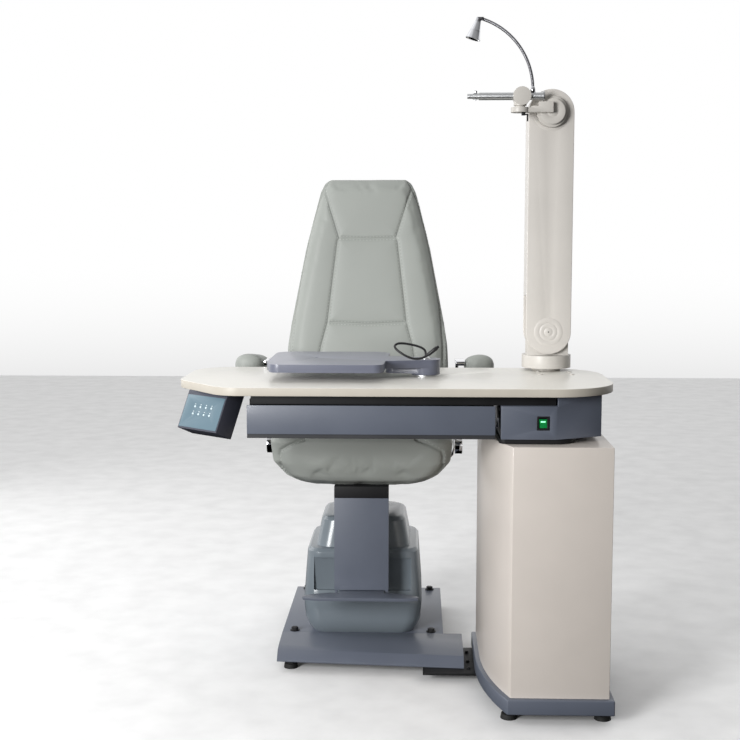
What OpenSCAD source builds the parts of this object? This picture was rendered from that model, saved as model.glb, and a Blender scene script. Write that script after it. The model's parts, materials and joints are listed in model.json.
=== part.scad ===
// Ophthalmic combination table: an examination chair tied to a swing table
// that carries a folding head arm, a lamp, a drawer and an instrument tray.
// Millimetres. X runs to the right, Y away from the front, Z up from the floor.

/* [Table] */
// Length of the tabletop
table_l = 1090; // [1000:10:1200]
// Height of the tabletop's upper face
table_z = 820; // [810:1:840]
// Thickness of the tabletop
table_t = 20; // [16:1:24]
// Front edge of the tabletop along Y
table_front = -490; // [-500:1:-480]
// Back edge of the tabletop along Y
table_back = -6; // [-12:1:0]

/* [Cabinet] */
// Right side of the cabinet along X
cab_right = 527; // [520:1:535]
// Width of the cabinet
cab_w = 300; // [280:1:320]
// Front face of the cabinet along Y
cab_front = -503; // [-510:1:-495]
// Upper face of the cabinet
cab_top = 682; // [670:1:682]
// Radius of the cabinet's bowed left side
cab_bow = 850; // [650:10:900]
// How far the plinth stands proud of the cabinet
plinth_lip = 12; // [6:1:16]

/* [Chair] */
// Middle of the chair along X
chair_x = -94; // [-104:1:-88]
// Width of the chair's base plate
plate_w = 459; // [440:1:470]
// Depth of the chair's base plate
plate_d = 478; // [460:1:490]
// Width of the pedestal cover at its widest
cover_w = 336; // [320:1:345]
// Width of the leg post
post_w = 150; // [140:1:154]
// Height of the seat cushion's underside
seat_z = 497; // [495:1:500]
// How far the backrest leans back, in degrees
back_lean = 8; // [6:0.5:9]
// Length of the backrest along its lean
back_l = 734; // [700:1:745]

/* [Head arm] */
// Middle of the arm along X
arm_x = 409; // [405:1:412]
// Middle of the column along Y
column_y = -45; // [-48:1:-42]
// Height of the lower arm pivot
arm_z = 926; // [925:1:935]
// Distance between the arm's two pivots
arm_l = 580; // [560:1:600]
// Radius of the arm's rounded ends
arm_r = 60; // [56:1:61]
// Middle of the head's clamp block along X
head_x = 323.5; // [320:0.5:326]
// Radius of the gooseneck's bow
goose_r = 190; // [180:1:200]

/* [Tray] */
// Tray pivot along X
tray_x = 80; // [76:1:84]
// Tray pivot along Y
tray_y = -205; // [-210:1:-200]
// Upper face of the tray
tray_z = 864; // [860:1:868]

/* [Hidden] */
$fn = 48;
eps = 0.01;

// Colours
slate = [0.37, 0.40, 0.45];
cream = [0.80, 0.76, 0.72];
ivory = [0.88, 0.87, 0.84];
black = [0.08, 0.08, 0.08];
leather = [0.62, 0.64, 0.61];
steel = [0.70, 0.70, 0.72];

// Swing bearing in the middle of the cabinet
swing_x = cab_right - cab_w / 2;
swing_y = cab_front + 241;
cab_back = 0;
cab_left = cab_right - cab_w;
bow_y = -190;
plinth_z = 26;
plinth_h = 38;
shell_z = plinth_z + plinth_h;
wall = 3;

// Chair stations along Y and Z
plate_y = -4;
plate_z = 50;
plate_t = 8;
plate_top = plate_z + plate_t;
lift_y = 153;
cover_d = 330;
post_y = -70;
post_t = 40;
post_z = 205;
pan_t = 8;
bracket_h = 25;
foot_hinge_y = post_y - 15;
foot_hinge_z = post_z - 15;
hub_y = 150;
hub_z = 578;
back_y = 325;
back_z = 640;

// Table stations
frame_z = 776;
housing_z = 695;
housing_front = -470;
table_under = table_z - table_t;
drawer_x0 = -354;
drawer_x1 = 246;
drawer_z = 695;

// Column and arm stations
collar_z = 827;
collar_h = 35;
collar_r = 66;
foot_r = 38;
shaft_r = 20;
slab_front = -95;
slab_mid = -50;
slab_back = -5;
shell_t = 4;
pivot_r = 12;
link_dx = 24;
link_dz = 18;
head_z = arm_z + arm_l;
head_y = -125;
rod_z = 1544;
goose_x = 356;
lamp_angle = 16.4;

// A box given by its lowest and highest corners
module span(a, b) {
    translate(a) cube(b - a);
}

// A cylinder along Y from y0 to y1
module rod_y(x, z, y0, y1, r) {
    translate([x, y0, z]) rotate([-90, 0, 0]) cylinder(h = y1 - y0, r = r);
}

// A cylinder along X from x0 to x1
module rod_x(x0, x1, y, z, r) {
    translate([x0, y, z]) rotate([0, 90, 0]) cylinder(h = x1 - x0, r = r);
}

// A flat slab with round upright corners, centred on X and Y
module rounded_slab(w, d, h, r) {
    linear_extrude(h)
        offset(r = r, $fn = 32) square([w - 2 * r, d - 2 * r], center = true);
}

// ---------- Fixed base ----------

module base_plate() {
    rib_z = 26;
    color(slate) {
        difference() {
            span([chair_x - plate_w / 2, plate_y, plate_z],
                 [chair_x + plate_w / 2, plate_y + plate_d, plate_top]);
            translate([chair_x, lift_y, plate_z - 1]) cylinder(h = plate_t + 2, r = 30);
        }
        for (x = [chair_x - plate_w / 2 + 20, chair_x + plate_w / 2 - 60])
            span([x, plate_y + 20, rib_z], [x + 40, plate_y + plate_d - 10, plate_z]);
        span([chair_x - plate_w / 2 + 60, plate_y + plate_d - 50, rib_z],
             [chair_x + plate_w / 2 - 60, plate_y + plate_d - 10, plate_z]);
    }
}

// End section of the front channel, a thin slice of its profile
module channel_slice(x, front, inset) {
    back = plate_y - inset;
    translate([x, 0, 0]) rotate([90, 0, 90]) linear_extrude(1)
        polygon([
            [back, plinth_z], [back, 62 - inset], [front + 55, 57 - inset],
            [front + 26, 52 - inset], [front + inset, 30], [front + inset, plinth_z]
        ]);
}

module front_channel() {
    left = -322;
    right = 186;
    front_left = -152;
    front_right = -190;
    skin = 3;
    color(slate) translate([-286, -118, plinth_z]) cylinder(h = 25, r = 8);
    color(slate) difference() {
        hull() {
            channel_slice(left, front_left, 0);
            channel_slice(right, front_right, 0);
        }
        translate([0, 0, -1]) hull() {
            channel_slice(left + skin, front_left, skin);
            channel_slice(right - skin - 1, front_right, skin);
        }
    }
}

// Levelling feet: a rubber pad, a stud and a lock nut each
function chair_feet() = [
    for (x = [chair_x - plate_w / 2 + 40, chair_x + plate_w / 2 - 40],
         y = [plate_y + 50, plate_y + plate_d - 40]) [x, y]
];
function cabinet_feet() = [
    for (x = [cab_left + 60, cab_right - 10], y = [cab_front + 40, cab_back - 10]) [x, y]
];
module levelling_foot(p, r) {
    translate([p[0], p[1], 0]) {
        cylinder(h = 12, r1 = r, r2 = r - 2);
        translate([0, 0, 12]) cylinder(h = 8, r = 12, $fn = 6);
        translate([0, 0, 20]) cylinder(h = plinth_z - 20, r = 6);
    }
}
module levelling_feet() {
    color(black) {
        for (p = chair_feet()) levelling_foot(p, 22);
        for (p = cabinet_feet()) levelling_foot(p, 21);
        levelling_foot([-286, -118], 20);
    }
}

module joining_plate() {
    color(black) span([76, -228, plinth_z - 6], [262, -16, plinth_z]);
}

// Hexagon screws that hold the base plate and the joining plate
module hex_screw(x, y, z, r) {
    translate([x, y, z]) {
        cylinder(h = 2, r = r * 1.35);
        translate([0, 0, 2]) cylinder(h = r * 0.8, r = r, $fn = 6);
    }
}
module base_fasteners() {
    color(black) {
        for (x = [-195, 195], y = [24, 452]) hex_screw(chair_x + x, y, plate_top, 10);
        for (y = [-60, -135, -190]) hex_screw(199, y, plinth_z, 4);
    }
}

// Plan outline of the cabinet: square on the right, bowed on the left
module cabinet_outline(grow) {
    left = cab_left - grow;
    right = cab_right + grow;
    translate([left, bow_y]) square([right - left, cab_back + grow - bow_y]);
    intersection() {
        translate([left, cab_front - grow])
            square([right - left, bow_y - cab_front + grow + eps]);
        translate([cab_left + cab_bow, bow_y]) circle(r = cab_bow + grow, $fn = 180);
    }
}

module plinth() {
    floor_t = 4;
    color(slate) difference() {
        translate([0, 0, plinth_z]) linear_extrude(plinth_h) cabinet_outline(plinth_lip);
        translate([0, 0, plinth_z - 1]) linear_extrude(plinth_h - floor_t + 1)
            cabinet_outline(-24);
    }
}

module cabinet_shell() {
    color(cream) translate([0, 0, shell_z]) difference() {
        linear_extrude(cab_top - shell_z) cabinet_outline(0);
        translate([0, 0, -1]) linear_extrude(cab_top - shell_z - wall + 1)
            cabinet_outline(-wall);
        translate([swing_x, swing_y, cab_top - shell_z - 20]) cylinder(h = 40, r = 45);
        translate([480, cab_back - 10, 60]) cube([30, 20, 24]);
    }
}

module transformer() {
    x = swing_x + 60;
    y = swing_y + 130;
    color([0.45, 0.3, 0.2]) {
        translate([x - 40, y - 30, shell_z]) cube([80, 60, 10]);
        translate([x - 35, y - 25, shell_z + 10]) cube([70, 50, 60]);
        for (side = [-34, 25]) translate([x - 22, y + side, shell_z + 20]) cube([44, 9, 40]);
    }
}

module mains_inlet() {
    x = 480;
    z = shell_z + 60;
    color(black) difference() {
        union() {
            span([x - 6, cab_back, z - 6], [x + 36, cab_back + 3, z + 30]);
            span([x + 1, cab_back - 22, z + 1], [x + 29, cab_back, z + 23]);
        }
        span([x + 4, cab_back - 16, z + 4], [x + 26, cab_back + 4, z + 20]);
    }
}

// Fixed post with the bearing that the table swings on
module swing_post() {
    color(steel) translate([swing_x, swing_y, 0]) {
        translate([0, 0, shell_z]) cylinder(h = 8, r = 88);
        difference() {
            translate([0, 0, shell_z + 8]) cylinder(h = 604, r = 38);
            translate([0, 0, 400]) cylinder(h = 300, r = 30.04);
        }
    }
}

// ---------- Pedestal ----------

// One tier of the pedestal cover: rounded slabs [z, width] blended into each other
module tier(stations, shrink, r) {
    hull() for (s = stations)
        translate([chair_x, lift_y, s[0]])
            rounded_slab(s[1] - 2 * shrink, s[1] + cover_d - cover_w - 2 * shrink, 2, r);
}
lower_tier = [[plate_top, cover_w - 45], [74, cover_w - 27], [100, cover_w - 8],
              [150, cover_w], [292, cover_w - 20], [301, cover_w - 34]];
upper_tier = [[300, cover_w - 68], [404, cover_w - 96], [415, cover_w - 108],
              [420, cover_w - 126]];
// The front of the cover has a shallow window pocket on both sides of the leg post
module cover_pocket(grow) {
    front = lift_y - cover_d / 2;
    span([chair_x - 137 - grow, front - 10, 186 - grow],
         [chair_x + 137 + grow, front + 16 + grow, 278 + grow]);
}
module pedestal_cover() {
    skin = 4;
    color([0.42, 0.45, 0.48]) difference() {
        union() {
            tier(lower_tier, 0, 45);
            tier(upper_tier, 0, 45);
        }
        difference() {
            translate([0, 0, -skin]) {
                tier(lower_tier, skin, 41);
                tier(upper_tier, skin, 41);
            }
            cover_pocket(skin);
        }
        translate([chair_x, lift_y, 400]) cylinder(h = 40, r = 54);
        cover_pocket(0);
    }
}

module lift_tube() {
    color(steel) translate([chair_x, lift_y, plate_top]) difference() {
        union() {
            cylinder(h = 10, r = 70);
            translate([0, 0, 10]) cylinder(h = 340, r = 50);
        }
        translate([0, 0, 60]) cylinder(h = 400, r = 40.05);
    }
}

module lift_motor() {
    x = chair_x + 85;
    y = lift_y + 80;
    color([0.25, 0.25, 0.28]) {
        translate([x, y, plate_top]) cylinder(h = 40, r = 30);
        translate([x, y, plate_top + 40]) cylinder(h = 110, r = 27);
    }
}

module lift_column() {
    color(steel) translate([chair_x, lift_y, 0]) {
        translate([0, 0, 190]) cylinder(h = seat_z - pan_t - 190, r = 40);
    }
}

// Box post with two lugs at its foot that hold the footplate's hinge rod
module leg_post() {
    x0 = chair_x - post_w / 2;
    x1 = chair_x + post_w / 2;
    top = seat_z - pan_t - bracket_h;
    lug = [[post_y - 24, post_z - 20], [post_y - 24, post_z - 9.5], [post_y + 0.5, post_z - 9.5],
           [post_y + 0.5, post_z + 1], [post_y + 20, post_z + 1], [post_y + 20, post_z - 20]];
    color(slate) difference() {
        union() {
            difference() {
                span([x0, post_y, post_z], [x1, post_y + post_t, top]);
                span([x0 + 4, post_y + 4, post_z + 20],
                     [x1 - 4, post_y + post_t + 1, top - 4]);
            }
            for (x = [x0 + 1, x1 - 9]) translate([x, 0, 0])
                rotate([90, 0, 90]) linear_extrude(8) polygon(lug);
        }
        rod_x(x0 - 1, x1 + 1, foot_hinge_y, foot_hinge_z, 5.05);
    }
}

// Steel seat pan with the box bracket that carries the leg post
module seat_pan() {
    top = seat_z;
    under = seat_z - pan_t;
    pan_wide_y = 100;
    color(black) {
        span([chair_x - post_w / 2, post_y + post_t, under],
             [chair_x + post_w / 2, back_y + 20, top]);
        span([chair_x - 110, pan_wide_y, under], [chair_x + 110, back_y + 20, top]);
        span([chair_x - 60, back_y + 20, under], [chair_x + 60, back_y + 82, top]);
        span([chair_x - post_w / 2, post_y, under - bracket_h],
             [chair_x + post_w / 2, post_y + post_t, top]);
    }
}

// Seat cushion: rounded slabs [height over the underside, width, depth]
module seat_cushion() {
    front = -112;
    stations = [[0, 130, 250], [6, 280, 330], [14, 370, 366], [28, 430, 388],
                [68, 500, 416], [126, 514, 430], [146, 496, 414], [152, 440, 370]];
    middle = front + 215;
    color(leather) hull() for (s = stations)
        translate([chair_x, middle, seat_z + s[0]]) rounded_slab(s[1], s[2], 1, 60);
}

// The backrest is drawn upright, then leaned back about its lower front edge
module leaned() {
    translate([chair_x, back_y, back_z]) rotate([-back_lean, 0, 0]) children();
}
// Half outline of the backrest: height along the lean, half width
back_half = [[-44, 215], [-20, 240], [40, 252], [150, 258], [215, 255], [286, 244],
             [360, 230], [513, 201], [566, 188], [652, 166], [690, 155], [718, 141],
             [back_l, 122]];
module back_outline(shrink) {
    right = [for (p = back_half) [p[1] - shrink, min(p[0], back_l - shrink)]];
    left = [for (i = [len(right) - 1:-1:0]) [-right[i][0], right[i][1]]];
    polygon(concat(right, left));
}
module back_slice(y, shrink) {
    translate([0, y + 1, 0]) rotate([90, 0, 0]) linear_extrude(1) back_outline(shrink);
}
module backrest_cushion() {
    color(leather) leaned() hull() {
        back_slice(0, 22);
        back_slice(16, 2);
        back_slice(52, 0);
        back_slice(68, 8);
    }
}
module backrest_shell() {
    color([0.3, 0.31, 0.32]) {
        leaned() hull() {
            back_slice(69, 10);
            back_slice(84, 22);
        }
        leaned() span([-60, 82, -100], [60, 96, 150]);
        span([chair_x - 58, back_y + 70, seat_z], [chair_x + 58, back_y + 82, back_z - 90]);
    }
}

// Straps under the seat that end in the armrest pivots
module armrest_hubs() {
    under = seat_z - pan_t;
    strap = [[110, under], [205, under + 8], [258, under + 62], [262, under + 80],
             [262, hub_z + 24], [258.5, hub_z + 24], [258.5, under + 82], [254, under + 67],
             [206, under + 16], [150, under + 6], [110, under + 6]];
    color(steel) for (side = [-1, 1]) translate([chair_x, 0, 0]) {
        translate([0, hub_y + 24, 0]) rotate([90, 0, 0]) linear_extrude(48)
            polygon([for (p = strap) [side * p[0], p[1]]]);
        rod_x(side > 0 ? 262 : -274, side > 0 ? 274 : -262, hub_y, hub_z, 9);
    }
}

// Armrest: side is -1 on the left and 1 on the right; the pad falls towards the back
pad_w = 86;
pad_in = 289;
pad_z = 790;
pad_top = 851;
module armrest_arm(side) {
    inner = 262.5;
    plate = 8;
    cap = 21.5;
    x0 = side > 0 ? inner : -inner - plate;
    cap_x = side > 0 ? inner : -inner - cap;
    color(steel) translate([chair_x, 0, 0]) difference() {
        union() {
            rod_x(cap_x, cap_x + cap, hub_y, hub_z, 26);
            span([x0, hub_y - 20, hub_z], [x0 + plate, hub_y + 20, pad_z + 22]);
            span([side > 0 ? inner : -pad_in, hub_y - 30, pad_z + 22],
                 [side > 0 ? pad_in : -inner, hub_y + 70, pad_z + 34]);
        }
        rod_x(side > 0 ? inner - 1 : -275, side > 0 ? 275 : 1 - inner, hub_y, hub_z, 9.05);
    }
}
module armrest_pad(side) {
    y0 = 84;
    y1 = 320;
    tilt = 6;
    r = pad_w / 2;
    x = chair_x + side * (pad_in + r);
    color(leather) translate([0, y0, pad_z]) rotate([-tilt, 0, 0]) translate([0, -y0, -pad_z])
        hull() {
        for (y = [y0 + 26, y1 - 26]) translate([x, y, pad_top - 26])
            scale([(r - 2) / 26, 1, 1]) sphere(r = 26, $fn = 28);
        translate([x, (y0 + y1) / 2, pad_z])
            rounded_slab(pad_w - 16, y1 - y0 - 12, 1, 30);
        translate([x, (y0 + y1) / 2, pad_z + 14])
            rounded_slab(pad_w, y1 - y0, 16, 36);
    }
}

module footplate() {
    z = post_z - 9;
    back = post_y;
    color(slate) {
        translate([chair_x, 0, z]) linear_extrude(8) polygon([
            [-62, back - 0.5], [-62, back - 26], [-90, back - 26], [-142, back - 42],
            [-159, back - 58], [-156, back - 69], [-120, back - 78], [120, back - 78],
            [156, back - 69], [159, back - 58], [142, back - 42], [90, back - 26],
            [62, back - 26], [62, back - 0.5]
        ]);
        rod_x(chair_x - 74, chair_x + 74, foot_hinge_y, foot_hinge_z, 5);
        span([chair_x - 60, foot_hinge_y - 4, foot_hinge_z],
             [chair_x + 60, foot_hinge_y + 4, z + eps]);
    }
}

// ---------- Swing table ----------

// Plan outline of the tabletop: chamfered at the left, rounder at the right
module tabletop_outline() {
    half = table_l / 2;
    hull() {
        translate([-370, table_front + 90]) circle(r = 90, $fn = 64);
        translate([-half + 78, -292]) circle(r = 78, $fn = 64);
        translate([-half + 105, table_back - 105]) circle(r = 105, $fn = 64);
        translate([half - 158, table_front + 158]) circle(r = 158, $fn = 96);
        translate([half - 150, table_back - 150]) circle(r = 150, $fn = 96);
    }
}
module tabletop() {
    color(ivory) difference() {
        translate([0, 0, table_under]) linear_extrude(table_t) tabletop_outline();
        translate([arm_x, column_y, table_under - 1]) cylinder(h = table_t + 2, r = 26);
        translate([tray_x, tray_y, table_under - 1]) cylinder(h = table_t + 2, r = 14);
    }
}

// Steel frame under the tabletop, with the drawer's runners
module underframe() {
    tube = 24;
    x0 = -346;
    x1 = 392;
    y0 = -455;
    y1 = -142;
    color(black) difference() {
        span([x0, y0, frame_z], [x1, y1, table_under]);
        span([x0 + tube, y0 + tube, frame_z - 1], [x1 - tube, y1 - tube, table_under + 1]);
    }
    color(black) for (x = [drawer_x0 + 2, drawer_x1 - 5.5])
        span([x, y0 + tube, drawer_z + 30], [x + 3.5, y1 - tube, frame_z + 10]);
}

// Black turntable under the housing, with the shaft that turns in the post
module swing_base() {
    base_h = housing_z - cab_top - 1;
    color(black) difference() {
        union() {
            hull() for (p = [[272, -446, 16], [392, -412, 50], [425, -200, 60], [310, -200, 60]])
                translate([p[0], p[1], cab_top + 1]) cylinder(h = base_h, r = p[2]);
            translate([swing_x, swing_y, 420]) cylinder(h = cab_top + 1 - 420, r = 30);
        }
        translate([swing_x, swing_y, 410]) cylinder(h = 300, r = 20);
    }
}

module housing_outline(grow) {
    polygon([[260 - grow, -120 + grow], [260 - grow, housing_front - grow],
             [392 + grow, housing_front - grow], [508 + grow, -411 - grow],
             [508 + grow, -120 + grow]]);
}
module side_housing() {
    fold = 396;
    color(slate) difference() {
        union() {
            translate([0, 0, housing_z]) linear_extrude(frame_z - housing_z)
                housing_outline(0);
            intersection() {
                translate([0, 0, frame_z]) linear_extrude(table_under - frame_z)
                    housing_outline(0);
                span([fold, -480, frame_z - 1], [520, -100, table_under]);
            }
        }
        translate([0, 0, housing_z + 3]) linear_extrude(frame_z - housing_z - 6)
            housing_outline(-3);
        translate([swing_x, swing_y, housing_z - 2]) cylinder(h = 10, r = 25);
        span([347, housing_front - 1, 720], [373, housing_front + 10, 750]);
    }
}

module rocker_bezel() {
    color(black) difference() {
        union() {
            span([345, housing_front - 2, 718], [375, housing_front, 752]);
            span([347, housing_front, 720], [373, housing_front + 22, 750]);
        }
        span([350, housing_front - 3, 722.5], [370, housing_front + 14, 747.5]);
    }
}

// Rocker cap, seen end on as two faces that meet at a shallow angle, on its trunnion
module rocker_switch() {
    rocker_tip = 7;
    z = 735;
    color([0.05, 0.4, 0.15]) {
        translate([350.6, housing_front + 4, z])
            rotate([rocker_tip, 0, 0]) rotate([90, 0, 90]) linear_extrude(18.8) polygon([
                [-5.5, 11], [-2.2, 0], [-4.2, -11.2], [3, -9], [5, 0], [3, 9]
            ]);
        rod_x(350.2, 369.8, housing_front + 4, z, 1.5);
    }
}

// The control box hangs from the left end, turned and tipped towards its user
box_w = 144;
box_h = 90;
box_t = 52;
box_turn = -40;
box_tip = 24;
module control_frame() {
    translate([-456, -416, table_under - 2]) rotate([0, 0, box_turn])
        rotate([-box_tip, 0, 0]) children();
}
module control_box() {
    color([0.33, 0.34, 0.40]) difference() {
        control_frame() difference() {
            span([-box_w / 2, 0, -box_h - 6], [box_w / 2, box_t, 22]);
            span([-box_w / 2 + 3, 3, -box_h - 3], [box_w / 2 - 3, box_t - 3, -24]);
            for (i = [0:3], j = [0:1])
                translate([key_x(i), -1, key_z(j)]) rotate([-90, 0, 0])
                    cylinder(h = 6, r = 3.4);
        }
        span([-700, -700, table_under], [-200, -200, 900]);
    }
}
function key_x(i) = -30.5 + i * 20.3;
function key_z(j) = -38 - j * 18.5;
module control_panel() {
    color([0.50, 0.60, 0.65]) control_frame() difference() {
        span([-box_w / 2 + 3, -1.2, -box_h - 2], [box_w / 2 - 3, 0, -9]);
        for (i = [0:3], j = [0:1])
            translate([key_x(i), -2, key_z(j)]) rotate([-90, 0, 0])
                cylinder(h = 4, r = 3.4);
    }
}
module key(n) {
    i = n % 4;
    j = floor(n / 4);
    color([0.8, 0.9, 0.92]) control_frame() translate([key_x(i), -1.9, key_z(j)])
        rotate([-90, 0, 0]) cylinder(h = 3.4, r = 3);
}

module drawer() {
    front = housing_front;
    back = -150;
    color(slate) {
        span([drawer_x0, front, drawer_z + 10], [drawer_x1, front + 4, frame_z - 0.5]);
        span([drawer_x0, front + 2, drawer_z], [drawer_x1, front + 14, drawer_z + 10]);
        difference() {
            span([drawer_x0 + 6, front + 4, drawer_z + 10],
                 [drawer_x1 - 6, back, frame_z - 4]);
            span([drawer_x0 + 9, front + 7, drawer_z + 13],
                 [drawer_x1 - 9, back - 3, frame_z]);
        }
    }
}

module column_foot() {
    bolt_r = 6;
    color(ivory) {
        translate([arm_x, column_y, table_z]) difference() {
            cylinder(h = collar_z - table_z, r = foot_r);
            translate([0, 0, -1]) cylinder(h = 20, r = shaft_r + 0.05);
        }
        for (x = [382, 465], y = [-109, -170])
            translate([x, y, table_z]) cylinder(h = 1.5, r = bolt_r);
    }
    color(ivory) translate([arm_x, column_y, table_under - 40]) difference() {
        cylinder(h = 40, r = 34);
        translate([0, 0, -1]) cylinder(h = 50, r = shaft_r + 0.05);
    }
}

// Hollow spindle of the tray, with the gland that the lead comes out of
gland_z = tray_z + 1;
module tray_pivot() {
    color(steel) difference() {
        union() {
            translate([tray_x, tray_y, table_under - 14]) cylinder(h = 14, r = 24);
            translate([tray_x, tray_y, table_under]) cylinder(h = table_t, r = 14);
            translate([tray_x, tray_y, table_z]) cylinder(h = 4, r = 36);
            translate([tray_x, tray_y, table_z + 4]) cylinder(h = gland_z - 4 - table_z, r = 12);
            translate([tray_x, tray_y, gland_z]) cylinder(h = 6, r1 = 12, r2 = 6);
        }
        translate([tray_x, tray_y, table_under - 20]) cylinder(h = 70, r = 7);
    }
}

// ---------- Tray ----------

// Hole for the stud of an instrument base
tray_hole = [-206, -188];
// The plate, its neck and the round pivot lobe, in plan
module tray_outline(grow) {
    offset(r = grow, $fn = 24) {
        hull() {
            translate([-285, -345]) circle(r = 28, $fn = 32);
            translate([-297, -290]) circle(r = 28, $fn = 32);
            translate([-280, -60]) circle(r = 46, $fn = 32);
            translate([-62, -62]) circle(r = 46, $fn = 32);
            translate([-52, -350]) circle(r = 26, $fn = 32);
        }
        hull() {
            translate([-60, -200]) square([10, 150], center = true);
            translate([tray_x, tray_y]) circle(r = 38, $fn = 48);
        }
    }
}
module tray() {
    t = 20;
    color([0.5, 0.5, 0.58]) difference() {
        union() {
            translate([0, 0, tray_z - t]) linear_extrude(t) tray_outline(0);
            translate([tray_x, tray_y, table_z + 4.5])
                cylinder(h = tray_z - t - table_z - 3.5, r = 37);
            hull() for (p = [[tray_x, 34], [0, 24]])
                translate([p[0], tray_y, table_z + 8]) cylinder(h = tray_z - t - table_z - 7, r = p[1]);
        }
        translate([0, 0, tray_z - t - 1]) linear_extrude(t - 2) difference() {
            tray_outline(-3);
            translate([tray_x, tray_y]) circle(r = 40);
            translate(tray_hole) circle(r = 11);
        }
        translate([tray_x, tray_y, table_z]) cylinder(h = 50, r = 12.05);
        translate([tray_hole[0], tray_hole[1], tray_z - t - 2]) cylinder(h = t + 4, r = 5);
    }
}

// ---------- Column and arm ----------

module column_neck() {
    neck_front = -80;
    neck_back = -20;
    color(ivory) {
        translate([arm_x, column_y, table_under - 30])
            cylinder(h = collar_z + 1 - table_under + 30, r = shaft_r);
        difference() {
            union() {
                translate([arm_x, column_y, collar_z + 0.5])
                    cylinder(h = collar_h - 0.5, r = collar_r);
                span([arm_x - 55, neck_front, collar_z + collar_h - 1],
                     [arm_x + 55, neck_back, arm_z]);
                rod_y(arm_x, arm_z, neck_front, neck_back, 55);
            }
            rod_y(arm_x, arm_z, neck_front - 1, neck_back + 1, pivot_r + 0.05);
            span([arm_x - 70, -66, arm_z - 57], [arm_x + 70, -34, arm_z + 70]);
        }
        rod_y(arm_x + link_dx, arm_z + link_dz, neck_front - 7, neck_front + 1, 4);
    }
}

// Upright outline of the arm with round ends
module arm_outline(shrink) {
    for (z = [0, arm_l]) translate([0, z]) circle(r = arm_r - shrink, $fn = 96);
    translate([shrink - arm_r, 0]) square([2 * (arm_r - shrink), arm_l]);
}
// Plate and rim of one arm shell, open where the neck sweeps between the cheeks
module arm_shell(plate_y, rim_y) {
    translate([arm_x, 0, arm_z]) {
        translate([0, max(plate_y, plate_y + (rim_y > plate_y ? shell_t : 0)), 0])
            rotate([90, 0, 0]) linear_extrude(shell_t) arm_outline(0);
    }
    translate([arm_x, max(plate_y, rim_y), arm_z]) rotate([90, 0, 0])
        linear_extrude(abs(rim_y - plate_y)) difference() {
            arm_outline(0);
            arm_outline(shell_t);
            translate([-2 * arm_r, -2 * arm_r]) square([4 * arm_r, 2 * arm_r + 20]);
            translate([-2 * arm_r, -2 * arm_r]) square([2 * arm_r, 2 * arm_r + 96]);
        }
}
module arm_front_shell() {
    color(ivory) difference() {
        arm_shell(slab_front, slab_mid - 0.5);
        rod_y(arm_x, arm_z, slab_front - 1, slab_front + 10, pivot_r - 4);
        rod_y(arm_x, head_z, slab_front - 1, slab_front + 10, 18);
    }
}
module arm_rear_shell() {
    color(ivory) difference() {
        translate([0, 2 * slab_mid, 0]) mirror([0, 1, 0]) arm_shell(slab_front, slab_mid);
        rod_y(arm_x, arm_z, slab_back - 10, slab_back + 1, pivot_r - 4);
    }
}

// Welded beam: a tube with a pivot boss at each end
module arm_beam() {
    color([0.2, 0.2, 0.22]) {
        difference() {
            union() {
                span([arm_x - 22, -62, arm_z + 12], [arm_x + 22, -38, head_z - 16]);
                rod_y(arm_x, arm_z, -64, -36, 24);
                rod_y(arm_x, head_z, -72, slab_back - shell_t, 26);
                rod_y(arm_x, arm_z, slab_front + shell_t, slab_back - shell_t, pivot_r);
                rod_y(arm_x, arm_z, slab_front, slab_front + shell_t, pivot_r - 4);
                rod_y(arm_x, arm_z, slab_back - shell_t, slab_back, pivot_r - 4);
            }
            rod_y(arm_x, head_z, slab_front, slab_back - 10, 14.05);
        }
    }
}

// Levelling link that keeps the head upright
module arm_link() {
    y0 = -86.5;
    y1 = -81;
    x = arm_x + link_dx;
    low = arm_z + link_dz;
    high = head_z + link_dz;
    color(steel) difference() {
        union() {
            span([x - 6, y0, low], [x + 6, y1, high]);
            rod_y(x, low, y0, y1, 9);
            rod_y(x, high, y0, y1, 9);
        }
        rod_y(x, low, y0 - 1, y1 + 1, 4.05);
        rod_y(x, high, y0 - 1, y1 + 1, 4.5);
    }
}

// ---------- Head ----------

module head_bracket() {
    bar_z = 1502;
    step_x = 372;
    saucer_h = 13;
    color(ivory) {
        rod_y(arm_x, head_z, slab_front + 5, -15.5, 14);
        rod_y(arm_x, head_z, slab_front - 0.5, slab_front + 5, 17);
        rod_y(arm_x, head_z, -109, slab_front - 0.5, 40);
        rod_y(arm_x + link_dx, head_z + link_dz, -86, -74, 4);
        rod_y(arm_x, head_z, -80.5, -74, 36);
        span([step_x, -138, bar_z], [arm_x, -109, bar_z + 27]);
        span([352, -138, bar_z], [step_x + eps, -109, bar_z + 16]);
        span([head_x, -138, bar_z], [352 + eps, -109, bar_z + saucer_h]);
        translate([head_x, head_y, bar_z]) cylinder(h = saucer_h, r = 24);
        translate([head_x, head_y, bar_z + saucer_h]) cylinder(h = 17 - saucer_h, r = 13);
    }
}

module head_block() {
    color(ivory) difference() {
        union() {
            rod_y(head_x + 4, rod_z, head_y - 18, head_y + 18, 23.5);
            translate([head_x, head_y, 1519.5]) cylinder(h = 12, r = 17);
        }
        rod_x(head_x - 30, head_x + 40, head_y, rod_z, 10);
    }
}

// Cross rod with the pin that carries the refractor head
pin_x = 186;
pin_l = 14;
module head_rod() {
    color(steel) difference() {
        union() {
            rod_x(216, 386, head_y, rod_z, 10);
            rod_x(382, 386, head_y, rod_z, 13);
            rod_x(pin_x, pin_x + pin_l, head_y, rod_z, 6.5);
            rod_x(pin_x + pin_l, 216, head_y, rod_z, 8);
        }
        translate([207, head_y, rod_z - 20]) cylinder(h = 40, r = 2.05);
        translate([goose_x, head_y, rod_z]) cylinder(h = 20, r = 4.05);
    }
}

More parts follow.
